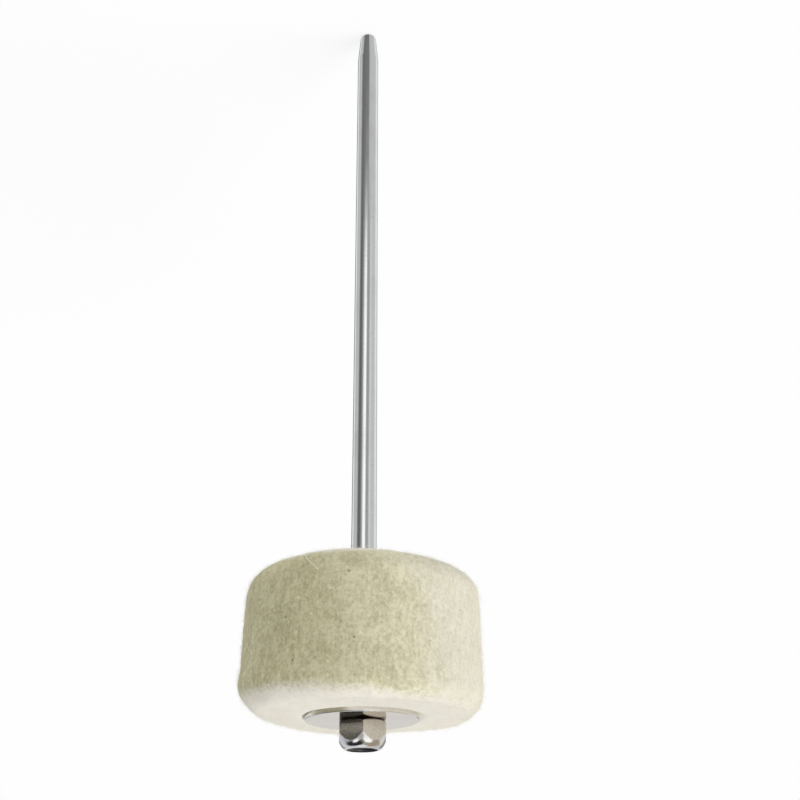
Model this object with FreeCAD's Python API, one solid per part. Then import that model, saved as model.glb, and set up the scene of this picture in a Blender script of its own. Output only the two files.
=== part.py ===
import FreeCAD, Part
import math
import os
from FreeCAD import Vector

# Bass drum beater, head up. The rod stands on the Z axis with its free tip at the origin.
# All sizes are in millimetres.

# Rod
OVERALL_LENGTH = 205.0         # free tip to the end of the lock nut
ROD_DIAMETER = 6.0             # plain shank that a pedal hub clamps, also the thread size
TIP_LENGTH = 9.0               # tapered lead-in at the free end
TIP_TAPER = 0.8                # the tip is this much smaller in radius than the shank
TIP_ROUND = 1.2
ROD_END_RECESS = 0.5           # the rod stops this far short of the end of the lock nut
POINT_LENGTH = 1.0             # unthreaded point at the head end, which helps the nut on
POINT_CHAMFER = 0.4
THREAD_LENGTH = 9.0            # reaches a little into the felt, so that the nut can press it

# Coarse metric thread, cut on the rod and in the lock nut
THREAD_PITCH = 1.0
FLANK_ANGLE = 30.0             # half of the 60 degree thread angle
FLANK_SLACK = 0.09             # rod ridges are thinner and nut grooves wider by this, along the axis
CREST_DROP = 0.10              # the thread crests lie this far under the shank's surface
ROOT_CLEARANCE = 0.10          # the nut grooves are this much deeper than the shank's surface
NUT_CREST_CLEARANCE = 0.05     # the nut ridges are cut back by this
RIDGE_SINK = 0.06              # how far a ridge is sunk into the bar that carries it

# Felt head
FELT_DIAMETER = 54.0
FELT_HEIGHT = 30.0
FELT_FRONT_ROUND = 3.0         # rim beside the lock nut
FELT_REAR_ROUND = 4.2          # rim beside the rod
FELT_BORE_CLEARANCE = 0.15

# Two equal plain washers
WASHER_DIAMETER = 25.0
WASHER_THICKNESS = 1.2
WASHER_BORE_CLEARANCE = 0.20
WASHER_EDGE_ROUND = 0.25

# Open retaining ring, sprung into a groove of the rod behind the rear washer
GROOVE_DEPTH = 0.5
RING_WALL = 2.5                # shank surface to the ring's rim
RING_THICKNESS = 0.7
RING_PLAY = 0.04               # the groove is this much wider than the ring
RING_MOUTH = 0.85              # width of the mouth as a share of the groove's diameter
NOTCH_RADIUS = 1.3             # two notches leave three prongs in the groove
NOTCH_OFFSET = 0.2             # centre of a notch, outside the shank's surface
NOTCH_ANGLE = 115.0            # from the middle of the mouth to a notch

# Lock nut and its nylon ring
NUT_WALL = 2.0                 # shank surface to a wrench flat
BEARING_INSET = 0.3            # the bearing face is this much smaller in radius than the flats
BEARING_ANGLE = 30.0           # chamfer of the hexagon's corners
NUT_COUNTERSINK = 0.25         # depth of the bore's flared mouth
LOCK_NUT_HEIGHT = 6.0
LOCK_NUT_DOME = 3.1            # height of the rounded collar above the hexagon's corners
LIP_CLEARANCE = 0.4            # crimped lip to the shank's surface
LIP_THICKNESS = 0.45
LIP_FLAT = 0.1                 # width of the lip's flat end
DOME_FLARE = 0.2               # how far the collar swells past the flats where it starts
DOME_CROWN = 0.4               # fullness of its shoulder
INSERT_WALL = 1.0              # nylon ring, from the shank's surface outward
INSERT_HEIGHT = 1.7

# Places along the axis
ROD_RADIUS = ROD_DIAMETER / 2
ROD_END = OVERALL_LENGTH - ROD_END_RECESS
THREAD_END = ROD_END - POINT_LENGTH
THREAD_START = THREAD_END - THREAD_LENGTH
LOCK_NUT_SEAT = OVERALL_LENGTH - LOCK_NUT_HEIGHT
INSERT_TOP = OVERALL_LENGTH - LIP_THICKNESS
INSERT_BOTTOM = INSERT_TOP - INSERT_HEIGHT
FELT_FRONT = LOCK_NUT_SEAT - WASHER_THICKNESS
FELT_REAR = FELT_FRONT - FELT_HEIGHT
RING_TOP = FELT_REAR - WASHER_THICKNESS
RING_BOTTOM = RING_TOP - RING_THICKNESS

# Radii of the groove, the nut and the thread
GROOVE_RADIUS = ROD_RADIUS - GROOVE_DEPTH
NUT_FLAT = ROD_RADIUS + NUT_WALL
NUT_CORNER = NUT_FLAT / math.cos(math.radians(30))
BEARING_RADIUS = NUT_FLAT - BEARING_INSET
LIP_RADIUS = ROD_RADIUS + LIP_CLEARANCE
INSERT_RADIUS = ROD_RADIUS + INSERT_WALL
TRIANGLE = THREAD_PITCH / 2 / math.tan(math.radians(FLANK_ANGLE))   # height of the sharp thread form
PITCH_LINE = ROD_RADIUS - TRIANGLE * 3 / 8
ROD_CREST = ROD_RADIUS - CREST_DROP
ROD_ROOT = ROD_RADIUS - TRIANGLE * 17 / 24
NUT_ROOT = ROD_RADIUS + ROOT_CLEARANCE
NUT_CREST = ROD_RADIUS - TRIANGLE * 5 / 8 + NUT_CREST_CLEARANCE


def polar(radius, angle, z):
    return Vector(radius * math.cos(angle), radius * math.sin(angle), z)


def at(z):
    return Vector(0, 0, z)


def revolve(edges):
    """Solid of revolution about Z from a closed outline in the XZ plane."""
    return Part.Face(Part.Wire(edges)).revolve(at(0), Vector(0, 0, 1), 360)


def outline(points):
    return Part.makePolygon([Vector(r, 0, z) for r, z in points]).Edges


def ridge_width(radius, slack):
    """Width of a thread ridge along the axis, at one radius."""
    return THREAD_PITCH / 2 - 2 * (radius - PITCH_LINE) * math.tan(math.radians(FLANK_ANGLE)) + slack


def ridge(outer, inner, slack, z0, z1):
    """Right-hand thread ridge, sunk a little into its core. At X it stands on whole pitches of height."""
    foot = inner - RIDGE_SINK
    first = THREAD_PITCH * math.floor(z0 / THREAD_PITCH)
    low, high = ridge_width(foot, slack) / 2, ridge_width(outer, slack) / 2
    profile = [Vector(foot, 0, first - low), Vector(outer, 0, first - high),
               Vector(outer, 0, first + high), Vector(foot, 0, first + low)]
    helix = Part.makeHelix(THREAD_PITCH, z1 - first, foot)
    helix.translate(at(first))
    return Part.Wire(helix.Edges).makePipeShell([Part.makePolygon(profile + profile[:1])], True, True)


def tapped_hole(z0, z1):
    """The space that a nut's thread leaves free, running past both ends."""
    past = 2 * THREAD_PITCH
    core = Part.makeCylinder(NUT_CREST, z1 - z0 + 4 * past, at(z0 - 2 * past))
    return core.fuse(ridge(NUT_ROOT, NUT_CREST, FLANK_SLACK, z0 - past, z1 + past))


def rim_edges(disc):
    return [e for e in disc.Edges if e.Closed and len(e.Vertexes) == 1]


def beater_rod():
    shank = Part.makeCylinder(ROD_RADIUS, THREAD_START - TIP_LENGTH, at(TIP_LENGTH))
    groove = Part.makeCylinder(ROD_DIAMETER, RING_THICKNESS + RING_PLAY, at(RING_BOTTOM - RING_PLAY))
    groove = groove.cut(Part.makeCylinder(GROOVE_RADIUS, OVERALL_LENGTH))
    tip = Part.makeCone(ROD_RADIUS - TIP_TAPER, ROD_RADIUS, TIP_LENGTH)
    tip = tip.makeFillet(TIP_ROUND, [e for e in rim_edges(tip) if e.BoundBox.ZMax < TIP_LENGTH / 2])
    buried = THREAD_START - 3 * THREAD_PITCH
    core = Part.makeCylinder(ROD_ROOT, ROD_END - buried, at(buried))
    core = core.makeChamfer(POINT_CHAMFER, [e for e in rim_edges(core) if e.BoundBox.ZMin > THREAD_END])
    turns = ridge(ROD_CREST, ROD_ROOT, -FLANK_SLACK, THREAD_START - THREAD_PITCH, THREAD_END)
    return shank.cut(groove).fuse([tip, core.fuse(turns)])


def retaining_ring():
    """Flat spring ring with three prongs in the groove; its mouth points to plus Y."""
    plate = Part.makeCylinder(ROD_RADIUS + RING_WALL, RING_THICKNESS, at(RING_BOTTOM))
    width = RING_MOUTH * 2 * GROOVE_RADIUS
    mouth = Part.makeBox(width, ROD_DIAMETER + RING_WALL, OVERALL_LENGTH, Vector(-width / 2, 0, 0))
    notches = []
    for side in (-1, 1):
        middle = polar(ROD_RADIUS + NOTCH_OFFSET, math.radians(90 + side * NOTCH_ANGLE), 0)
        notches.append(Part.makeCylinder(NOTCH_RADIUS, OVERALL_LENGTH, middle))
    return plate.cut([Part.makeCylinder(GROOVE_RADIUS, OVERALL_LENGTH), mouth] + notches)


def washer(z):
    """Plain washer with slightly rounded outer edges; z is its lower face."""
    disc = Part.makeCylinder(WASHER_DIAMETER / 2, WASHER_THICKNESS, at(z))
    disc = disc.makeFillet(WASHER_EDGE_ROUND, rim_edges(disc))
    return disc.cut(Part.makeCylinder(ROD_RADIUS + WASHER_BORE_CLEARANCE, OVERALL_LENGTH))


def felt_head():
    """Disc of pressed felt with rounded rims and a hole for the rod."""
    disc = Part.makeCylinder(FELT_DIAMETER / 2, FELT_HEIGHT, at(FELT_REAR))
    middle = FELT_REAR + FELT_HEIGHT / 2
    disc = disc.makeFillet(FELT_FRONT_ROUND, [e for e in rim_edges(disc) if e.BoundBox.ZMin > middle])
    disc = disc.makeFillet(FELT_REAR_ROUND, [e for e in rim_edges(disc) if e.BoundBox.ZMax < middle])
    return disc.cut(Part.makeCylinder(ROD_RADIUS + FELT_BORE_CLEARANCE, OVERALL_LENGTH))


def lock_nut():
    """Hexagon nut, corners towards plus and minus Y, its rounded collar crimped over a nylon ring."""
    corners = [polar(NUT_CORNER, math.radians(30 + 60 * i), LOCK_NUT_SEAT) for i in range(6)]
    hexagon = Part.Face(Part.makePolygon(corners + corners[:1])).extrude(at(LOCK_NUT_HEIGHT))
    rise = (NUT_CORNER - BEARING_RADIUS) * math.tan(math.radians(BEARING_ANGLE))
    shoulder = OVERALL_LENGTH - LOCK_NUT_DOME
    dome = Part.BezierCurve()
    dome.setPoles([Vector(NUT_CORNER, 0, shoulder),
                   Vector(NUT_FLAT + DOME_FLARE, 0, shoulder + LOCK_NUT_DOME / 3),
                   Vector((LIP_RADIUS + NUT_FLAT) / 2 + DOME_CROWN, 0, OVERALL_LENGTH),
                   Vector(LIP_RADIUS + LIP_FLAT, 0, OVERALL_LENGTH)])
    below = outline([(LIP_RADIUS + LIP_FLAT, OVERALL_LENGTH), (0, OVERALL_LENGTH), (0, LOCK_NUT_SEAT),
                     (BEARING_RADIUS, LOCK_NUT_SEAT), (NUT_CORNER, LOCK_NUT_SEAT + rise),
                     (NUT_CORNER, shoulder)])
    nut = hexagon.common(revolve([dome.toShape()] + below))
    pocket = Part.makeCylinder(INSERT_RADIUS, INSERT_HEIGHT, at(INSERT_BOTTOM))
    opening = Part.makeCylinder(LIP_RADIUS, 2 * LIP_THICKNESS, at(INSERT_TOP - LIP_THICKNESS / 2))
    mouth = Part.makeCone(NUT_ROOT + 2 * NUT_COUNTERSINK, NUT_ROOT + NUT_COUNTERSINK / 2, NUT_COUNTERSINK,
                          at(LOCK_NUT_SEAT))
    return nut.cut([pocket, opening, mouth]).cut(tapped_hole(LOCK_NUT_SEAT, INSERT_BOTTOM))


def lock_nut_insert():
    """Nylon ring that fills the lock nut's pocket, with the thread formed in it."""
    ring = Part.makeCylinder(INSERT_RADIUS, INSERT_HEIGHT, at(INSERT_BOTTOM))
    return ring.cut(tapped_hole(INSERT_BOTTOM, INSERT_TOP))


pieces = {
    "beater_rod": beater_rod(),
    "retaining_ring": retaining_ring(),
    "rear_washer": washer(RING_TOP),
    "felt_head": felt_head(),
    "front_washer": washer(FELT_FRONT),
    "lock_nut": lock_nut(),
    "lock_nut_insert": lock_nut_insert(),
}

os.makedirs("parts", exist_ok=True)
for name, shape in pieces.items():
    solid = shape.Solids[0]
    solid.exportStep("parts/" + name + ".step")
    print(name, len(shape.Solids), solid.isValid(), round(solid.Volume, 2))
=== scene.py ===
import math
import bmesh
import bpy
from mathutils import Matrix, Vector, noise


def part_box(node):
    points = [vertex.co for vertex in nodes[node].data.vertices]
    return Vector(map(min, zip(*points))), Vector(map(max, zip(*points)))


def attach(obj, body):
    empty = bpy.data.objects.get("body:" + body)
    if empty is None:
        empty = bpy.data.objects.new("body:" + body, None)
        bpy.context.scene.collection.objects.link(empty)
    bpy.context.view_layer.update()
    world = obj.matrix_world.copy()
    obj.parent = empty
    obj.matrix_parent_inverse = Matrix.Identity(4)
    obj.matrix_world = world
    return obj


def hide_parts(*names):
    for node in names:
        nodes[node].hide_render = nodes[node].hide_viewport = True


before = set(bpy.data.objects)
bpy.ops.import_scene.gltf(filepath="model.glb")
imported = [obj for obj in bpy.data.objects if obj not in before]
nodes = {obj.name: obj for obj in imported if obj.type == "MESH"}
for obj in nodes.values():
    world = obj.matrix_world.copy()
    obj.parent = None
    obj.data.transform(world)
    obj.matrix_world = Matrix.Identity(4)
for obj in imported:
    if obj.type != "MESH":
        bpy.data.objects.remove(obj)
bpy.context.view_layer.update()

scene = bpy.context.scene
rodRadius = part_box("beater_rod")[1].x
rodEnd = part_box("beater_rod")[1].z
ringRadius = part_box("retaining_ring")[1].x
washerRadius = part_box("front_washer")[1].x
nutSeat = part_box("lock_nut")[0].z
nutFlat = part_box("lock_nut")[1].x
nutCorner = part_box("lock_nut")[1].y
feltLow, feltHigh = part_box("felt_head")
feltRadius = feltHigh.x
print("stage: frame loaded,", len(nodes), "cad nodes")


# node tree helpers
def setInputs(tree, node, values):
    # each input, by name or number, is linked to a socket or given a plain value
    for key, value in values.items():
        if isinstance(value, bpy.types.NodeSocket):
            tree.links.new(value, node.inputs[key])
        else:
            node.inputs[key].default_value = value


def addNode(tree, kind, inputs=None, **settings):
    node = tree.nodes.new(kind)
    for name, value in settings.items():
        setattr(node, name, value)
    setInputs(tree, node, inputs or {})
    return node


def mathNode(tree, operation, *values):
    return addNode(tree, "ShaderNodeMath", dict(enumerate(values)), operation=operation).outputs[0]


def vectorNode(tree, operation, *values, output=0):
    node = addNode(tree, "ShaderNodeVectorMath", dict(enumerate(values)), operation=operation)
    return node.outputs[output]


def mixColor(tree, factor, a, b, blend="MIX"):
    node = addNode(tree, "ShaderNodeMix", {0: factor, 6: a, 7: b}, data_type="RGBA", blend_type=blend)
    return node.outputs[2]


def mixValue(tree, share, a, b):
    # this share of b, and the rest from a
    return mathNode(tree, "MULTIPLY_ADD", b, share, mathNode(tree, "MULTIPLY", a, 1.0 - share))


def grey(level):
    return (level, level, level, 1.0)


def ramp(tree, factor, stops):
    node = addNode(tree, "ShaderNodeValToRGB", {"Fac": factor})
    elements = node.color_ramp.elements
    while len(elements) < len(stops):
        elements.new(0.5)
    for element, (place, value) in zip(elements, stops):
        element.position = place
        element.color = value if isinstance(value, tuple) else grey(value)
    return node.outputs["Color"]


def spread(tree, value, low, high, outLow=0.0, outHigh=1.0, smooth=False):
    node = addNode(tree, "ShaderNodeMapRange", {"Value": value, "From Min": low, "From Max": high,
                                                "To Min": outLow, "To Max": outHigh})
    if smooth:
        node.interpolation_type = "SMOOTHSTEP"
    return node.outputs["Result"]


def noiseNode(tree, place, scale, detail=2.0, roughness=0.5, distortion=0.0):
    values = {"Vector": place, "Scale": scale, "Detail": detail, "Roughness": roughness,
              "Distortion": distortion}
    return addNode(tree, "ShaderNodeTexNoise", values).outputs["Fac"]


def centred(tree, value):
    # a noise that varies about 0 rather than about a half
    return mathNode(tree, "SUBTRACT", value, 0.5)


def axisRadius(tree, place):
    flat = vectorNode(tree, "MULTIPLY", place, (1.0, 1.0, 0.0))
    return vectorNode(tree, "LENGTH", flat, output="Value")


def towardsSide(tree, place, azimuth):
    # how far a point lies from the axis towards one side, in degrees from the front, positive towards -X
    a = math.radians(azimuth)
    return vectorNode(tree, "DOT_PRODUCT", place, (-math.sin(a), -math.cos(a), 0.0), output="Value")


def shaderGroup(name, inputs, outputs):
    tree = bpy.data.node_groups.new(name, "ShaderNodeTree")
    for label, kind, value in inputs:
        socket = tree.interface.new_socket(label, in_out="INPUT", socket_type=kind)
        if value is not None:
            socket.default_value = value
    for label, kind in outputs:
        tree.interface.new_socket(label, in_out="OUTPUT", socket_type=kind)
    return tree, tree.nodes.new("NodeGroupInput"), tree.nodes.new("NodeGroupOutput")


def newMaterial(name):
    material = bpy.data.materials.new(name)
    material.use_nodes = True
    tree = material.node_tree
    return material, tree, tree.nodes["Principled BSDF"]


def objectCoords(tree):
    return addNode(tree, "ShaderNodeTexCoord").outputs["Object"]


def addPiece(name, mesh):
    mesh.name = name
    piece = bpy.data.objects.new(name, mesh)
    scene.collection.objects.link(piece)
    return piece


def bakedMesh(source, material):
    # the plain mesh that a curve or a modifier gives, in one material; its source is then not needed
    bpy.context.view_layer.update()
    graph = bpy.context.evaluated_depsgraph_get()
    mesh = bpy.data.meshes.new_from_object(source.evaluated_get(graph), depsgraph=graph)
    mesh.materials.clear()
    mesh.materials.append(material)
    source.modifiers.clear()
    bpy.data.objects.remove(source)
    return mesh


def onSide(azimuth, height, proud=0.0):
    # a spot on the felt's side: degrees from the front, positive towards -X, and height over its rear face
    a = math.radians(azimuth)
    r = feltRadius + proud
    return Vector((-r * math.sin(a), -r * math.cos(a), feltLow.z + height))


# camera, the head at the bottom of the picture as in the photo
cameraSet = {"place": (0.007213, -0.237007, 0.238411), "pitch": 0.459, "yaw": -0.067, "roll": -0.0076,
             "lens": 47.685, "sensor": 36.0, "clipStart": 0.005}


def makeCamera():
    pitch, yaw = cameraSet["pitch"], cameraSet["yaw"]
    turn = math.pi + cameraSet["roll"]
    ahead = Vector((math.sin(yaw) * math.cos(pitch), math.cos(yaw) * math.cos(pitch), -math.sin(pitch)))
    right = ahead.cross(Vector((0, 0, 1))).normalized()
    up = right.cross(ahead)
    sideways = math.cos(turn) * right + math.sin(turn) * up
    upright = -math.sin(turn) * right + math.cos(turn) * up
    data = bpy.data.cameras.new("camera")
    data.lens = cameraSet["lens"]
    data.sensor_width = cameraSet["sensor"]
    data.clip_start = cameraSet["clipStart"]
    camera = bpy.data.objects.new("camera", data)
    scene.collection.objects.link(camera)
    matrix = Matrix((sideways, upright, -ahead)).transposed().to_4x4()
    matrix.translation = Vector(cameraSet["place"])
    camera.matrix_world = matrix
    scene.camera = camera


makeCamera()
print("stage: camera")


# felt head: turned profile with soft rims, swollen round the washers, then lumps and felting grain
feltSet = {"around": 400, "rimSteps": 16, "sideSteps": 60, "faceSteps": 36, "boreSteps": 10,
           "frontRim": 0.0038, "rearRim": 0.0052, "boreClearance": 0.00015, "taper": 0.0004,
           "seat": 0.0001, "seatFade": 0.003, "swell": 0.0006, "swellReach": 0.0007,
           "lump": 0.00022, "lumpSize": 0.011, "grain": 0.00009, "grainSize": 0.0015,
           "seed": (4.7, 1.3, 8.1),
           "slumps": [{"end": "front", "azimuth": -92.0, "spread": 92.0, "reach": 0.009,
                       "inward": 0.0015, "bulge": 0.0009, "sink": 0.0011},
                      {"end": "front", "azimuth": 80.0, "spread": 50.0, "reach": 0.009,
                       "inward": 0.0006, "bulge": 0.0002, "sink": 0.0005},
                      {"end": "front", "azimuth": 155.0, "spread": 45.0, "reach": 0.009,
                       "inward": 0.0006, "bulge": 0.0002, "sink": 0.0005},
                      {"end": "rear", "azimuth": -88.0, "spread": 70.0, "reach": 0.012,
                       "inward": 0.0005, "bulge": 0.0, "sink": 0.0},
                      {"end": "rear", "azimuth": 50.0, "spread": 70.0, "reach": 0.008,
                       "inward": 0.0003, "bulge": 0.0, "sink": 0.0004}],
           "flat": {"azimuth": 95.0, "spread": 75.0, "inward": 0.0005}}


def feltProfile():
    low, high, radius = feltLow.z, feltHigh.z, feltRadius
    front, rear = feltSet["frontRim"], feltSet["rearRim"]
    bore = rodRadius + feltSet["boreClearance"]
    points = []

    def straight(count, start, end, out):
        for i in range(count):
            r, z = Vector(start).lerp(Vector(end), i / count)
            points.append((r, z, out))

    def bend(count, centre, size, first):
        for i in range(count):
            a = first + math.pi / 2 * i / count
            out = (math.cos(a), math.sin(a))
            points.append((centre[0] + size * out[0], centre[1] + size * out[1], out))

    straight(feltSet["faceSteps"], (bore, low), (radius - rear, low), (0, -1))
    bend(feltSet["rimSteps"], (radius - rear, low + rear), rear, -math.pi / 2)
    straight(feltSet["sideSteps"], (radius, low + rear), (radius, high - front), (1, 0))
    bend(feltSet["rimSteps"], (radius - front, high - front), front, 0)
    straight(feltSet["faceSteps"], (radius - front, high), (bore, high), (0, 1))
    straight(feltSet["boreSteps"], (bore, high), (bore, low), (-1, 0))
    return points


def ease(value, low, high):
    t = min(1.0, max(0.0, (value - low) / (high - low)))
    return t * t * (3 - 2 * t)


def sideShare(p, setting):
    # 1 on the felt's side at the setting's azimuth, easing to 0 at its spread and at the washers
    apart = (math.degrees(math.atan2(-p.x, -p.y)) - setting["azimuth"] + 180) % 360 - 180
    share = ease(setting["spread"] - abs(apart), 0.0, setting["spread"])
    return share * ease(p.xy.length, washerRadius, feltRadius)


def slumped(p):
    # where the rims have given way and the side is not quite round: shifts inward and along the axis
    # a bulge is fullest half way into its slump
    inward = feltSet["flat"]["inward"] * sideShare(p, feltSet["flat"])
    sink = 0.0
    for slump in feltSet["slumps"]:
        atFront = slump["end"] == "front"
        below = feltHigh.z - p.z if atFront else p.z - feltLow.z
        depth = ease(slump["reach"] - below, 0.0, slump["reach"])
        share = sideShare(p, slump)
        inward += share * (slump["inward"] * depth - slump["bulge"] * 4 * depth * (1 - depth))
        sink += share * slump["sink"] * depth * (-1 if atFront else 1)
    return inward, sink


def makeFelt():
    around = feltSet["around"]
    offset = Vector(feltSet["seed"])
    seat = washerRadius + feltSet["seat"]
    height = feltHigh.z - feltLow.z
    bm = bmesh.new()
    rings = []
    looseness = []
    for r, z, (outR, outZ) in feltProfile():
        free = min(1.0, max(0.0, (r - seat) / feltSet["seatFade"]))
        swell = feltSet["swell"] * (1 - math.exp(-max(0.0, r - seat) / feltSet["swellReach"])) * abs(outZ)
        narrow = feltSet["taper"] * ease(r, washerRadius, feltRadius) * (feltHigh.z - z) / height
        ring = []
        for k in range(around):
            a = 2 * math.pi * k / around
            outward = Vector((math.cos(a), math.sin(a), 0))
            p = r * outward + Vector((0, 0, z))
            lump = noise.noise(p / feltSet["lumpSize"] + offset) * feltSet["lump"]
            grain = noise.noise(p / feltSet["grainSize"] + offset) * feltSet["grain"]
            shift = swell + (lump + grain) * free
            inward, sink = slumped(p)
            p += shift * (outR * outward + Vector((0, 0, outZ)))
            p -= (narrow + inward) * outward
            p.z += sink
            ring.append(bm.verts.new(p))
            looseness.append(free)
        rings.append(ring)
    for i, ring in enumerate(rings):
        after = rings[(i + 1) % len(rings)]
        for k in range(around):
            n = (k + 1) % around
            bm.faces.new((ring[k], ring[n], after[n], after[k]))
    bmesh.ops.recalc_face_normals(bm, faces=bm.faces)
    mesh = bpy.data.meshes.new("feltBody")
    bm.to_mesh(mesh)
    bm.free()
    mesh.attributes.new("loose", "FLOAT", "POINT").data.foreach_set("value", looseness)
    mesh.shade_smooth()
    return addPiece("feltBody", mesh)


# wool fibres on the felt's surface: flat loops that dip back in, and short loose ends
# fibreShape is one fibre with a length of 1
fibreShape = {"root": (0, 0, -0.03), "bend": (0.5, 0.2), "tip": (0.9, -0.1), "steps": 3, "sides": 3,
              "tipWidth": 0.45}
fibreSet = {
    "feltLoops": {"Density": 1150000.0, "Shortest": 0.0009, "Longest": 0.0026, "Thickness": 0.000015,
                  "Arch": 0.34, "Lift": -0.03, "Lean": 0.18, "Seed": 11},
    "feltFuzz": {"Density": 1150000.0, "Shortest": 0.0004, "Longest": 0.0013, "Thickness": 0.000013,
                 "Arch": 0.45, "Lift": 0.7, "Lean": 0.75, "Seed": 12},
}


def fibreTree():
    tree = bpy.data.node_groups.new("woolFibres", "GeometryNodeTree")
    face = tree.interface
    face.new_socket("Geometry", in_out="INPUT", socket_type="NodeSocketGeometry")
    for label in ("Density", "Shortest", "Longest", "Thickness", "Arch", "Lift", "Lean"):
        face.new_socket(label, in_out="INPUT", socket_type="NodeSocketFloat")
    face.new_socket("Seed", in_out="INPUT", socket_type="NodeSocketInt")
    face.new_socket("Material", in_out="INPUT", socket_type="NodeSocketMaterial")
    face.new_socket("Geometry", in_out="OUTPUT", socket_type="NodeSocketGeometry")
    given = tree.nodes.new("NodeGroupInput").outputs
    loose = addNode(tree, "GeometryNodeInputNamedAttribute", {"Name": "loose"}, data_type="FLOAT")
    density = mathNode(tree, "MULTIPLY", given["Density"], loose.outputs["Attribute"])
    points = addNode(tree, "GeometryNodeDistributePointsOnFaces",
                     {"Mesh": given["Geometry"], "Density": density, "Seed": given["Seed"]}).outputs
    # one fibre, thinner towards its end
    bendX, bendY = fibreShape["bend"]
    tipX, tipY = fibreShape["tip"]
    middle = addNode(tree, "ShaderNodeCombineXYZ", {"X": bendX, "Y": bendY, "Z": given["Arch"]})
    end = addNode(tree, "ShaderNodeCombineXYZ", {"X": tipX, "Y": tipY, "Z": given["Lift"]})
    hair = addNode(tree, "GeometryNodeCurveQuadraticBezier",
                   {"Resolution": fibreShape["steps"], "Start": fibreShape["root"],
                    "Middle": middle.outputs[0], "End": end.outputs[0]})
    along = addNode(tree, "GeometryNodeSplineParameter").outputs["Factor"]
    slim = mathNode(tree, "DIVIDE", given["Thickness"], given["Longest"])
    slim = mathNode(tree, "MULTIPLY", slim, spread(tree, along, 0.0, 1.0, 1.0, fibreShape["tipWidth"]))
    ring = addNode(tree, "GeometryNodeCurvePrimitiveCircle",
                   {"Resolution": fibreShape["sides"], "Radius": 1.0})
    hair = addNode(tree, "GeometryNodeCurveToMesh", {"Curve": hair.outputs["Curve"], "Scale": slim,
                   "Profile Curve": ring.outputs["Curve"], "Fill Caps": True})
    back = mathNode(tree, "MULTIPLY", given["Lean"], -1.0)
    lowTurn = addNode(tree, "ShaderNodeCombineXYZ", {"X": back, "Y": back, "Z": -math.pi})
    highTurn = addNode(tree, "ShaderNodeCombineXYZ",
                       {"X": given["Lean"], "Y": given["Lean"], "Z": math.pi})
    turn = addNode(tree, "FunctionNodeRandomValue", {"Min": lowTurn.outputs[0], "Max": highTurn.outputs[0],
                                                     "Seed": given["Seed"]}, data_type="FLOAT_VECTOR")
    turn = addNode(tree, "FunctionNodeEulerToRotation", {0: turn.outputs[0]})
    stand = addNode(tree, "FunctionNodeRotateRotation", {0: points["Rotation"], 1: turn.outputs[0]},
                    rotation_space="LOCAL")
    size = addNode(tree, "FunctionNodeRandomValue",
                   {2: given["Shortest"], 3: given["Longest"], "Seed": given["Seed"]}, data_type="FLOAT")
    hairs = addNode(tree, "GeometryNodeInstanceOnPoints",
                    {"Points": points["Points"], "Instance": hair.outputs["Mesh"],
                     "Rotation": stand.outputs[0], "Scale": size.outputs[1]})
    real = addNode(tree, "GeometryNodeRealizeInstances", {"Geometry": hairs.outputs["Instances"]})
    painted = addNode(tree, "GeometryNodeSetMaterial",
                      {"Geometry": real.outputs["Geometry"], "Material": given["Material"]})
    addNode(tree, "NodeGroupOutput", {"Geometry": painted.outputs["Geometry"]})
    return tree


def makeFibres(name, felt, tree, material):
    base = addPiece(name + "Base", felt.data.copy())
    modifier = base.modifiers.new("fibres", "NODES")
    modifier.node_group = tree
    values = {"Material": material, **fibreSet[name]}
    for item in tree.interface.items_tree:
        if item.in_out == "INPUT" and item.name in values:
            modifier[item.identifier] = values[item.name]
    return addPiece(name, bakedMesh(base, material))


# one long pale hair that lies over the rear rim: azimuth, height over the rear face, and how proud it is
strayHairSet = {"points": [(-31.8, 0.0008, 0.0004), (-28.6, 0.0021, 0.0006), (-25.4, 0.0035, 0.0006),
                           (-22.0, 0.0050, 0.0002)],
                "radius": 0.00011, "roundness": 1, "steps": 6, "order": 3, "color": (0.95, 0.92, 0.74, 1),
                "grain": 1500.0, "grainRange": (0.3, 0.7), "shade": (0.7, 1.0), "rough": 0.6}


def makeStrayHair():
    material, tree, shader = newMaterial("strawHair")
    grain = noiseNode(tree, objectCoords(tree), strayHairSet["grain"])
    shade = spread(tree, grain, *strayHairSet["grainRange"], *strayHairSet["shade"])
    color = mixColor(tree, 1.0, strayHairSet["color"], shade, "MULTIPLY")
    setInputs(tree, shader, {"Base Color": color, "Roughness": strayHairSet["rough"]})
    data = bpy.data.curves.new("strayHair", "CURVE")
    data.dimensions = "3D"
    data.bevel_depth = strayHairSet["radius"]
    data.bevel_resolution = strayHairSet["roundness"]
    data.use_fill_caps = True
    data.resolution_u = strayHairSet["steps"]
    spline = data.splines.new("NURBS")
    spline.points.add(len(strayHairSet["points"]) - 1)
    for point, (azimuth, height, proud) in zip(spline.points, strayHairSet["points"]):
        inward = max(0.0, feltSet["rearRim"] - height)
        rim = feltSet["rearRim"] - math.sqrt(feltSet["rearRim"] ** 2 - inward ** 2)
        point.co = (*onSide(azimuth, height, proud - rim), 1.0)
    spline.order_u = strayHairSet["order"]
    spline.use_endpoint_u = True
    curve = bpy.data.objects.new("strayHairCurve", data)
    scene.collection.objects.link(curve)
    return addPiece("strayHair", bakedMesh(curve, material))


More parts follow.
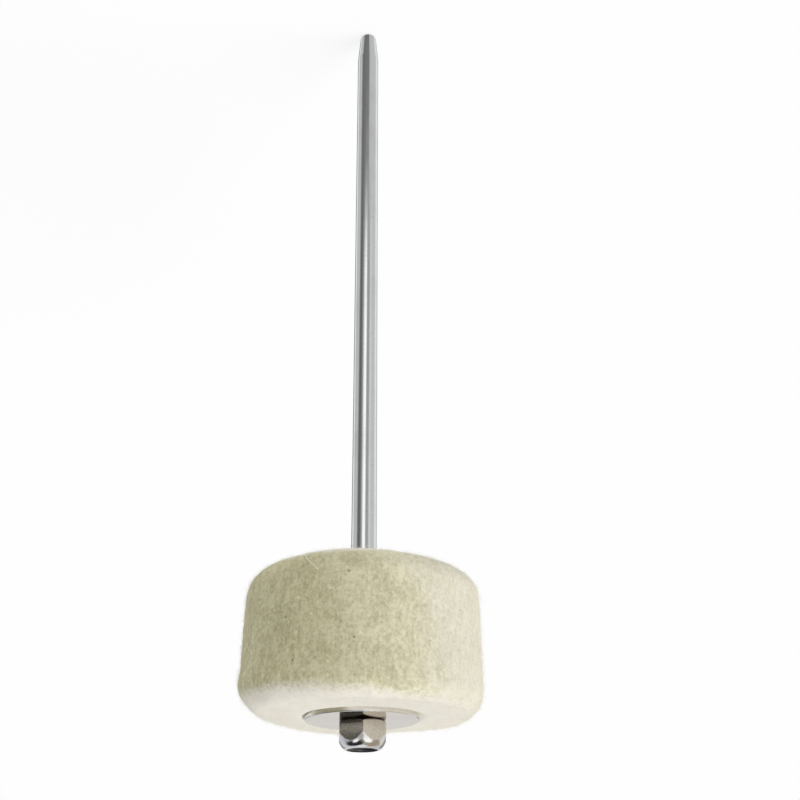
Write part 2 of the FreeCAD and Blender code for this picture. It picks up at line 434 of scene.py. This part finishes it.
# wool colours and marks, shared by the pressed body and its fibres
# a noise is given by its scale, detail, roughness and distortion, a spot by its azimuth, height and size
woolSet = {"side": (0.622, 0.584, 0.358, 1), "sideDark": (0.417, 0.388, 0.212, 1),
           # painted light: the next two pairs are paler copies of the side colour for its half lit and
           # fully lit parts
           "thin": (0.755, 0.715, 0.512, 1), "thinDark": (0.51, 0.48, 0.312, 1),
           "faded": (0.715, 0.678, 0.561, 1), "fadedDark": (0.605, 0.569, 0.449, 1),
           "face": (0.85, 0.812, 0.732, 1), "faceDark": (0.795, 0.752, 0.662, 1),
           "pale": (0.86, 0.835, 0.68, 1), "fleck": (0.84, 0.80, 0.54, 1), "speck": (0.17, 0.145, 0.08, 1),
           "cloud": (120.0, 3.0, 0.55), "grain": (1150.0, 4.0, 0.68), "streak": (1000.0, 2.0, 0.6, 0.8),
           "streakStretch": (1.0, 1.0, 0.33), "cloudShare": 0.36, "streakShare": 0.28,
           "toneRange": (0.41, 0.575),
           # painted light: the side turns paler towards the lamp's azimuth, half lit over the first span
           # and fully lit over the second
           "fadedSide": 82.0, "thinning": (-0.34, 0.37), "fadedEdge": (0.36, 0.82),
           "driftNoise": (60.0, 3.0, 0.6), "drift": 0.7,
           "frontEdge": (feltHigh.z - 0.0024, feltHigh.z + 0.0015), "frontLean": 0.095, "frontInset": 0.5,
           "rearEdge": (feltLow.z + 0.0013, feltLow.z - 0.0003), "ragged": 0.005,
           "strands": [(300.0, 0.020, 0.28), (520.0, 0.030, 0.26), (900.0, 0.045, 0.26)],
           "strandCurl": (1.0, 0.5, 0.7),
           "flecks": {"scale": 620.0, "core": 0.10, "rim": 0.30, "amount": 0.5, "share": 0.72},
           "specks": {"scale": 400.0, "core": 0.05, "rim": 0.13, "amount": 0.45, "share": 0.86},
           "specksOnFaces": 0.3, "spotCore": 0.5, "spotRim": 1.4, "spotAmount": 0.85,
           "spots": [(-8.3, 0.0056, 0.00042), (-9.9, 0.0064, 0.00026), (-38.2, 0.0140, 0.00028),
                     (-5.6, 0.0193, 0.00026), (-16.4, 0.0096, 0.00022), (-33.3, 0.0231, 0.00026),
                     (-78.0, 0.0150, 0.00026)],
           "fibreRelief": 0.5, "grainRelief": 0.8, "bump": {"Strength": 0.5, "Distance": 0.0004},
           "bodyFinish": {"Roughness": 0.95, "Specular IOR Level": 0.12, "Sheen Weight": 0.2,
                          "Sheen Roughness": 0.6, "Sheen Tint": (1.0, 0.98, 0.9, 1.0)},
           "looseFinish": {"Roughness": 0.8, "Specular IOR Level": 0.2}, "loosePale": 0.45}


def sprinkle(tree, place, setting):
    # small round marks in some of the cells of a random pattern
    cells = addNode(tree, "ShaderNodeTexVoronoi", {"Vector": place, "Scale": setting["scale"]}).outputs
    chosen = addNode(tree, "ShaderNodeSeparateColor", {"Color": cells["Color"]}).outputs[0]
    marks = spread(tree, cells["Distance"], setting["core"], setting["rim"], setting["amount"], 0.0)
    return mathNode(tree, "MULTIPLY", marks, mathNode(tree, "GREATER_THAN", chosen, setting["share"]))


def woolGroup():
    tree, given, out = shaderGroup("woolMottle", [("Vector", "NodeSocketVector", None)],
                                   [("Color", "NodeSocketColor"), ("Height", "NodeSocketFloat")])
    place = given.outputs["Vector"]
    cloud = noiseNode(tree, place, *woolSet["cloud"])
    grain = noiseNode(tree, place, *woolSet["grain"])
    stretched = vectorNode(tree, "MULTIPLY", place, woolSet["streakStretch"])
    streak = noiseNode(tree, stretched, *woolSet["streak"])
    mottle = mixValue(tree, woolSet["cloudShare"], grain, cloud)
    tone = spread(tree, mixValue(tree, woolSet["streakShare"], mottle, streak), *woolSet["toneRange"])
    # painted light: the side's colour grows paler towards the lamp's side and stays darker away from it,
    # its edges wandering with a random drift
    radius = axisRadius(tree, place)
    facing = mathNode(tree, "DIVIDE", towardsSide(tree, place, woolSet["fadedSide"]), radius)
    drift = centred(tree, noiseNode(tree, place, *woolSet["driftNoise"]))
    facing = mathNode(tree, "MULTIPLY_ADD", drift, woolSet["drift"], facing)
    thin = spread(tree, facing, *woolSet["thinning"])
    faded = spread(tree, facing, *woolSet["fadedEdge"], smooth=True)
    shades = []
    for shade in ("Dark", ""):
        paintedLitSide = mixColor(tree, thin, woolSet["side" + shade], woolSet["thin" + shade])
        shades.append(mixColor(tree, faded, paintedLitSide, woolSet["faded" + shade]))
    side = mixColor(tree, tone, *shades)
    face = mixColor(tree, tone, woolSet["faceDark"], woolSet["face"])
    # the undyed faces begin at ragged lines near the rims
    axes = addNode(tree, "ShaderNodeSeparateXYZ", {"Vector": place}).outputs
    ragged = mathNode(tree, "MULTIPLY_ADD", centred(tree, mottle), woolSet["ragged"], axes["Z"])
    rear = spread(tree, ragged, *woolSet["rearEdge"], smooth=True)
    ragged = mathNode(tree, "MULTIPLY_ADD", axes["X"], woolSet["frontLean"], ragged)
    inset = mathNode(tree, "SUBTRACT", feltRadius, radius)
    ragged = mathNode(tree, "MULTIPLY_ADD", inset, woolSet["frontInset"], ragged)
    front = spread(tree, ragged, *woolSet["frontEdge"], smooth=True)
    bare = mathNode(tree, "MAXIMUM", front, rear)
    color = mixColor(tree, bare, side, face)
    # thin curling lines, level lines of a soft noise, read as single fibres
    fibres = 0.0
    for scale, width, amount in woolSet["strands"]:
        level = centred(tree, noiseNode(tree, place, scale, *woolSet["strandCurl"]))
        level = mathNode(tree, "ABSOLUTE", level)
        fibres = mathNode(tree, "MAXIMUM", fibres, spread(tree, level, 0.0, width, amount, 0.0))
    color = mixColor(tree, fibres, color, woolSet["pale"])
    # pale flecks on the side, then dark plant specks: a sprinkling, and the few larger ones in the photo
    flecks = sprinkle(tree, place, woolSet["flecks"])
    flecks = mathNode(tree, "MULTIPLY", flecks, spread(tree, bare, 0.0, 1.0, 1.0, 0.0))
    color = mixColor(tree, flecks, color, woolSet["fleck"])
    specks = sprinkle(tree, place, woolSet["specks"])
    onFaces = spread(tree, bare, 0.0, 1.0, 1.0, woolSet["specksOnFaces"])
    specks = mathNode(tree, "MULTIPLY", specks, onFaces)
    for azimuth, height, size in woolSet["spots"]:
        reach = vectorNode(tree, "DISTANCE", place, tuple(onSide(azimuth, height)), output="Value")
        core, rim = size * woolSet["spotCore"], size * woolSet["spotRim"]
        spot = spread(tree, reach, core, rim, woolSet["spotAmount"], 0.0)
        specks = mathNode(tree, "MAXIMUM", specks, spot)
    color = mixColor(tree, specks, color, woolSet["speck"])
    relief = mathNode(tree, "MULTIPLY", grain, woolSet["grainRelief"])
    relief = mathNode(tree, "MULTIPLY_ADD", fibres, woolSet["fibreRelief"], relief)
    setInputs(tree, out, {"Color": color, "Height": relief})
    return tree


def feltMaterial(group):
    material, tree, shader = newMaterial("pressedFelt")
    wool = addNode(tree, "ShaderNodeGroup", {"Vector": objectCoords(tree)}, node_tree=group).outputs
    bump = addNode(tree, "ShaderNodeBump", {"Height": wool["Height"], **woolSet["bump"]})
    setInputs(tree, shader, {"Base Color": wool["Color"], "Normal": bump.outputs["Normal"],
                             **woolSet["bodyFinish"]})
    return material


def fibreMaterial(group):
    material, tree, shader = newMaterial("looseWool")
    wool = addNode(tree, "ShaderNodeGroup", {"Vector": objectCoords(tree)}, node_tree=group).outputs
    color = mixColor(tree, woolSet["loosePale"], wool["Color"], woolSet["pale"])
    setInputs(tree, shader, {"Base Color": color, **woolSet["looseFinish"]})
    return material


# steel finishes: rub marks, cloudy handling haze, pits and worn outer edges, one group for all the metal
platingInputs = [("Vector", "NodeSocketVector", None), ("Tint", "NodeSocketColor", (0.8, 0.8, 0.8, 1)),
                 ("Worn", "NodeSocketColor", (0.9, 0.9, 0.9, 1)), ("Haze", "NodeSocketFloat", 0.05),
                 ("Polish", "NodeSocketFloat", 0.1), ("Edge", "NodeSocketFloat", 1.0),
                 ("Rub", "NodeSocketVector", (1.0, 1.0, 0.05))]
platingSet = {"cloud": (90.0, 3.0), "rub": 6000.0, "pits": 1400.0,
              "cloudHaze": (0.4, 0.7), "rubHaze": (0.55, 0.75), "dull": (0.84, 0.83, 0.81, 1),
              "pitStain": (0.60, 0.70, 0.0, 0.6), "cloudStain": (0.5, 0.75, 0.0, 0.7),
              "edgeWander": 0.06, "wornEdge": (0.955, 0.995, 0.0, 0.8), "wornRough": 0.08,
              "rubRelief": 0.6, "bumpDepth": 0.0001}


def platingGroup():
    tree, given, out = shaderGroup("platingMarks", platingInputs, [("Color", "NodeSocketColor"),
                                   ("Roughness", "NodeSocketFloat"), ("Height", "NodeSocketFloat")])
    place, tint, haze = given.outputs["Vector"], given.outputs["Tint"], given.outputs["Haze"]
    cloud = noiseNode(tree, place, *platingSet["cloud"])
    stretched = vectorNode(tree, "MULTIPLY", place, given.outputs["Rub"])
    rub = noiseNode(tree, stretched, platingSet["rub"])
    pits = noiseNode(tree, place, platingSet["pits"])
    rough = given.outputs["Polish"]
    for mark, span in ((cloud, platingSet["cloudHaze"]), (rub, platingSet["rubHaze"])):
        rough = mathNode(tree, "MULTIPLY_ADD", spread(tree, mark, *span), haze, rough)
    dull = mixColor(tree, 1.0, tint, platingSet["dull"], "MULTIPLY")
    stained = mathNode(tree, "MAXIMUM", spread(tree, pits, *platingSet["pitStain"]),
                       spread(tree, cloud, *platingSet["cloudStain"]))
    color = mixColor(tree, stained, tint, dull)
    share = mathNode(tree, "DIVIDE", axisRadius(tree, place), given.outputs["Edge"])
    share = mathNode(tree, "MULTIPLY_ADD", centred(tree, pits), platingSet["edgeWander"], share)
    worn = spread(tree, share, *platingSet["wornEdge"])
    rough = mathNode(tree, "MULTIPLY_ADD", worn, platingSet["wornRough"], rough)
    color = mixColor(tree, worn, color, given.outputs["Worn"])
    relief = mixValue(tree, platingSet["rubRelief"], pits, rub)
    setInputs(tree, out, {"Color": color, "Roughness": rough, "Height": relief})
    return tree


# bare marks are painted shade: the rod's cut end in the nut's opening and the nut's foot on the washer by
# height, one side of the washers' punched edge by radius
# painted shade: the washers' punched rim is darkened only on one side
shadedWasherRim = {"by": "radius", "from": washerRadius - 0.00024, "to": washerRadius - 0.0001, "rough": 0.3,
               "color": (0.50, 0.48, 0.38, 1), "shadedSide": -38.0, "rimShade": (0.89, 0.985, 0.06, 1.0)}
# painted shade: the rod's end, deep in the nut's opening, is painted near black
shadedRodEnd = {"by": "height", "from": rodEnd - 0.0009, "to": rodEnd - 0.0003, "rough": 0.55,
          "color": (0.03, 0.031, 0.036, 1)}
# painted shade: a dark band at the nut's foot, where it meets the washer, rising higher towards one side
shadedNutFoot = {"by": "height", "from": nutSeat + 0.0005, "to": nutSeat + 0.0001, "rough": 0.2,
             "color": (0.16, 0.14, 0.11, 1), "highSide": -60.0, "lean": -0.08}
satinFlats = {"from": nutFlat * 0.997, "to": nutFlat * 0.999, "rough": 0.15}
metalSet = {
    "beater_rod": {"Tint": (0.785, 0.805, 0.80, 1), "Worn": (0.88, 0.88, 0.87, 1), "Haze": 0.06,
                   "Polish": 0.11, "Edge": 1.0, "Rub": (1.0, 1.0, 0.03), "bump": 0.05, "bare": shadedRodEnd},
    "retaining_ring": {"Tint": (0.13, 0.13, 0.14, 1), "Worn": (0.42, 0.42, 0.42, 1), "Haze": 0.10,
                       "Polish": 0.30, "Edge": ringRadius, "Rub": (1.0, 1.0, 1.0), "bump": 0.15},
    "rear_washer": {"Tint": (0.81, 0.80, 0.78, 1), "Worn": (0.90, 0.89, 0.87, 1), "Haze": 0.08,
                    "Polish": 0.12, "Edge": washerRadius, "Rub": (1.0, 0.04, 1.0), "bump": 0.06,
                    "bare": shadedWasherRim},
    "front_washer": {"Tint": (0.775, 0.727, 0.667, 1), "Worn": (0.90, 0.89, 0.87, 1), "Haze": 0.06,
                     "Polish": 0.07, "Edge": washerRadius, "Rub": (1.0, 0.04, 1.0), "bump": 0.04,
                     "bare": shadedWasherRim},
    "lock_nut": {"Tint": (0.74, 0.72, 0.69, 1), "Worn": (0.82, 0.80, 0.77, 1), "Haze": 0.05,
                 "Polish": 0.08, "Edge": nutCorner, "Rub": (1.0, 1.0, 0.1), "bump": 0.05,
                 "flats": satinFlats, "bare": shadedNutFoot},
}


def paintedShadeShare(tree, place, bare):
    if bare["by"] == "height":
        height = addNode(tree, "ShaderNodeSeparateXYZ", {"Vector": place}).outputs["Z"]
        if "lean" in bare:
            aside = towardsSide(tree, place, bare["highSide"])
            height = mathNode(tree, "MULTIPLY_ADD", aside, bare["lean"], height)
        return spread(tree, height, bare["from"], bare["to"])
    radius = axisRadius(tree, place)
    facing = mathNode(tree, "DIVIDE", towardsSide(tree, place, bare["shadedSide"]), radius)
    # painted shade: only the rim on the shaded side is darkened
    rimShade = spread(tree, facing, *bare["rimShade"], smooth=True)
    return mathNode(tree, "MULTIPLY", spread(tree, radius, bare["from"], bare["to"]), rimShade)


def flatsShare(tree, place, flats):
    # 1 on the nut's three pairs of flats, 0 on its dome
    reach = 0.0
    for k in range(3):
        a = k * math.pi / 3
        facing = vectorNode(tree, "DOT_PRODUCT", place, (math.cos(a), math.sin(a), 0.0), output="Value")
        reach = mathNode(tree, "MAXIMUM", reach, mathNode(tree, "ABSOLUTE", facing))
    return spread(tree, reach, flats["from"], flats["to"])


def metalMaterial(node, group):
    setting = metalSet[node]
    material, tree, shader = newMaterial(node + "Plating")
    place = objectCoords(tree)
    given = {label: setting[label] for label, kind, value in platingInputs if label in setting}
    marks = addNode(tree, "ShaderNodeGroup", {"Vector": place, **given}, node_tree=group)
    color, rough = marks.outputs["Color"], marks.outputs["Roughness"]
    if "bare" in setting:
        # the bare marks paint shade into the colour, and add roughness
        share = paintedShadeShare(tree, place, setting["bare"])
        color = mixColor(tree, share, color, setting["bare"]["color"])
        rough = mathNode(tree, "MULTIPLY_ADD", share, setting["bare"]["rough"], rough)
    if "flats" in setting:
        share = flatsShare(tree, place, setting["flats"])
        rough = mathNode(tree, "MULTIPLY_ADD", share, setting["flats"]["rough"], rough)
    bump = addNode(tree, "ShaderNodeBump",
                   {"Strength": setting["bump"], "Distance": platingSet["bumpDepth"],
                    "Height": marks.outputs["Height"]})
    setInputs(tree, shader, {"Base Color": color, "Roughness": rough, "Normal": bump.outputs["Normal"],
                             "Metallic": 1.0})
    return material


# dark nylon ring inside the nut
nylonSet = {"grain": (2500.0, 3.0), "range": (0.3, 0.7), "rough": (0.35, 0.55),
            "colors": [(0.012, 0.013, 0.018, 1), (0.03, 0.032, 0.045, 1)]}


def nylonMaterial():
    material, tree, shader = newMaterial("darkNylon")
    grain = noiseNode(tree, objectCoords(tree), *nylonSet["grain"])
    color = ramp(tree, grain, list(zip(nylonSet["range"], nylonSet["colors"])))
    rough = spread(tree, grain, *nylonSet["range"], *nylonSet["rough"])
    setInputs(tree, shader, {"Base Color": color, "Roughness": rough})
    return material


def dress(node, material):
    slots = nodes[node].data.materials
    slots.clear()
    slots.append(material)


wool = woolGroup()
felt = makeFelt()
felt.data.materials.append(feltMaterial(wool))
looseWool = fibreMaterial(wool)
fibres = fibreTree()
softPieces = [felt] + [makeFibres(name, felt, fibres, looseWool) for name in fibreSet]
softPieces.append(makeStrayHair())
for piece in softPieces:
    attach(piece, "felt")
    piece.data.calc_loop_triangles()
    print("stage:", piece.name, len(piece.data.loop_triangles), "triangles")
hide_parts("felt_head")

plating = platingGroup()
for node in metalSet:
    dress(node, metalMaterial(node, plating))
dress("lock_nut_insert", nylonMaterial())
print("stage: materials")


# floor, key light and surroundings
stageSet = {"floorSize": 16.0, "floorColor": 0.92, "floorGlow": 0.84, "ambient": 0.49,
            "keyFrom": (-0.60, -0.30, 0.74), "keyStrength": 2.25, "keyAngle": 40.0}


def makeFloor():
    half = stageSet["floorSize"] / 2
    mesh = bpy.data.meshes.new("floor")
    corners = [(-half, -half, 0), (half, -half, 0), (half, half, 0), (-half, half, 0)]
    mesh.from_pydata(corners, [], [(0, 1, 2, 3)])
    floor = addPiece("floor", mesh)
    material, tree, shader = newMaterial("paleFloor")
    setInputs(tree, shader, {"Base Color": grey(stageSet["floorColor"]), "Roughness": 1.0,
                             "Specular IOR Level": 0.0})
    light = addNode(tree, "ShaderNodeLightPath")
    glow = addNode(tree, "ShaderNodeEmission", {"Color": grey(1.0), "Strength": 1.0})
    share = mathNode(tree, "MULTIPLY", light.outputs["Is Camera Ray"], stageSet["floorGlow"])
    mix = addNode(tree, "ShaderNodeMixShader", {0: share, 1: shader.outputs[0], 2: glow.outputs[0]})
    setInputs(tree, tree.nodes["Material Output"], {"Surface": mix.outputs[0]})
    mesh.materials.append(material)
    floor.visible_glossy = False


def makeKey():
    data = bpy.data.lights.new("key", "SUN")
    data.energy = stageSet["keyStrength"]
    data.angle = math.radians(stageSet["keyAngle"])
    lamp = bpy.data.objects.new("key", data)
    scene.collection.objects.link(lamp)
    lamp.rotation_euler = Vector(stageSet["keyFrom"]).to_track_quat("Z", "Y").to_euler()
    lamp.visible_glossy = False


# brightness of the room as polished metal sees it: degrees round, 0 at the front and positive towards -X
# the bands rise from steep, far below, to top; edges are the degrees of rise over which each takes over
backLeft = [(-180, 0.74), (-168, 0.74), (-160, 0.22), (-144, 0.22), (-134, 0.95), (-122, 0.95),
            (-108, 0.55)]
backRight = [(110, 0.92), (128, 0.95), (137, 0.5), (150, 0.5), (160, 0.78), (180, 0.74)]
beige = (0.68, 0.63, 0.54, 1)
brown = (0.43, 0.37, 0.30, 1)
whiteSky = (1.0, 1.04, 1.12, 1)
roomSet = {
    "steep": backLeft + [(-77, 0.62), (-62, 0.18), (8, 0.22), (20, 0.58), (92, 0.62)] + backRight,
    "level": backLeft + [(-77, 0.62), (-62, 0.18), (-50, 0.13), (-38, 0.22), (-26, 0.45), (-15, 1.1),
                         (1, 1.28), (10, 0.40), (28, 0.36), (42, 0.78), (62, 0.62),
                         (92, 0.62)] + backRight,
    "eye": [(-180, 0.74), (-168, 0.74), (-160, 0.34), (-150, 0.34), (-140, (0.78, 0.82, 0.90, 1)),
            (-108, (0.62, 0.65, 0.72, 1)), (-85, (0.03, 0.027, 0.018, 1)), (-30, (0.025, 0.022, 0.015, 1)),
            (-8, (0.5, 0.47, 0.41, 1)), (-1, 0.55), (4, 1.3), (24, 1.3), (34, beige), (92, beige),
            (112, 0.88), (130, 0.88), (140, 0.34), (156, 0.34), (168, 0.74), (180, 0.74)],
    "upper": [(-180, 0.74), (-150, (0.76, 0.80, 0.88, 1)), (-60, (0.66, 0.70, 0.77, 1)), (-10, 0.5),
              (20, (0.46, 0.43, 0.39, 1)), (40, brown), (105, brown), (130, 0.70), (180, 0.74)],
    "top": [(-180, whiteSky), (180, whiteSky)],
    "edges": [("level", -39.0, -33.0), ("eye", -16.0, -12.0), ("upper", 23.0, 32.0), ("top", 70.0, 80.0)],
    "patches": [{"towards": (0.48, -0.22, 0.85), "lengthwise": (0.67, 0.91, -0.41), "size": (0.64, 0.29),
                 "level": 0.03},
                {"towards": (0.45, -0.51, 0.73), "lengthwise": (0.7, 0.7, 0.0), "size": (0.28, 0.06),
                 "level": 1.25},
                {"towards": (-0.37, -0.59, 0.72), "lengthwise": (0.85, -0.53, 0.0), "size": (0.36, 0.13),
                 "level": 1.3}],
    "patchEdge": (0.8, 1.15, 1.0, 0.0),
}


def roomBand(tree, azimuth, name):
    return ramp(tree, azimuth, [((degrees + 180) / 360, level) for degrees, level in roomSet[name]])


def roomPatch(tree, ray, room, patch):
    # an oval lamp, or a dark thing, up in the room
    towards = Vector(patch["towards"]).normalized()
    lengthwise = Vector(patch["lengthwise"])
    lengthwise = (lengthwise - lengthwise.dot(towards) * towards).normalized()
    across = towards.cross(lengthwise)
    reach = [vectorNode(tree, "DOT_PRODUCT", ray, tuple(axis / size), output="Value")
             for axis, size in zip((lengthwise, across), patch["size"])]
    off = mathNode(tree, "SQRT", mathNode(tree, "MULTIPLY_ADD", reach[0], reach[0],
                                          mathNode(tree, "MULTIPLY", reach[1], reach[1])))
    ahead = vectorNode(tree, "DOT_PRODUCT", ray, towards, output="Value")
    ahead = mathNode(tree, "GREATER_THAN", ahead, 0.0)
    share = mathNode(tree, "MULTIPLY", spread(tree, off, *roomSet["patchEdge"]), ahead)
    return mixColor(tree, share, room, grey(patch["level"]))


def makeWorld():
    world = bpy.data.worlds.new("room")
    scene.world = world
    world.use_nodes = True
    tree = world.node_tree
    ray = addNode(tree, "ShaderNodeTexCoord").outputs["Generated"]
    way = addNode(tree, "ShaderNodeSeparateXYZ", {"Vector": ray}).outputs
    back = mathNode(tree, "MULTIPLY", way["X"], -1.0)
    azimuth = mathNode(tree, "ARCTAN2", back, mathNode(tree, "MULTIPLY", way["Y"], -1.0))
    azimuth = spread(tree, azimuth, -math.pi, math.pi)
    rise = mathNode(tree, "ARCSINE", way["Z"])
    room = roomBand(tree, azimuth, "steep")
    for name, low, high in roomSet["edges"]:
        above = spread(tree, rise, math.radians(low), math.radians(high), smooth=True)
        room = mixColor(tree, above, room, roomBand(tree, azimuth, name))
    for patch in roomSet["patches"]:
        room = roomPatch(tree, ray, room, patch)
    light = addNode(tree, "ShaderNodeLightPath").outputs
    seen = mathNode(tree, "MAXIMUM", light["Is Glossy Ray"], light["Is Transmission Ray"])
    color = mixColor(tree, seen, grey(stageSet["ambient"]), room)
    color = mixColor(tree, light["Is Camera Ray"], color, grey(1.0))
    setInputs(tree, tree.nodes["Background"], {"Color": color, "Strength": 1.0})


makeFloor()
makeKey()
makeWorld()
scene.view_settings.view_transform = "Standard"
print("stage: floor, key light and room")
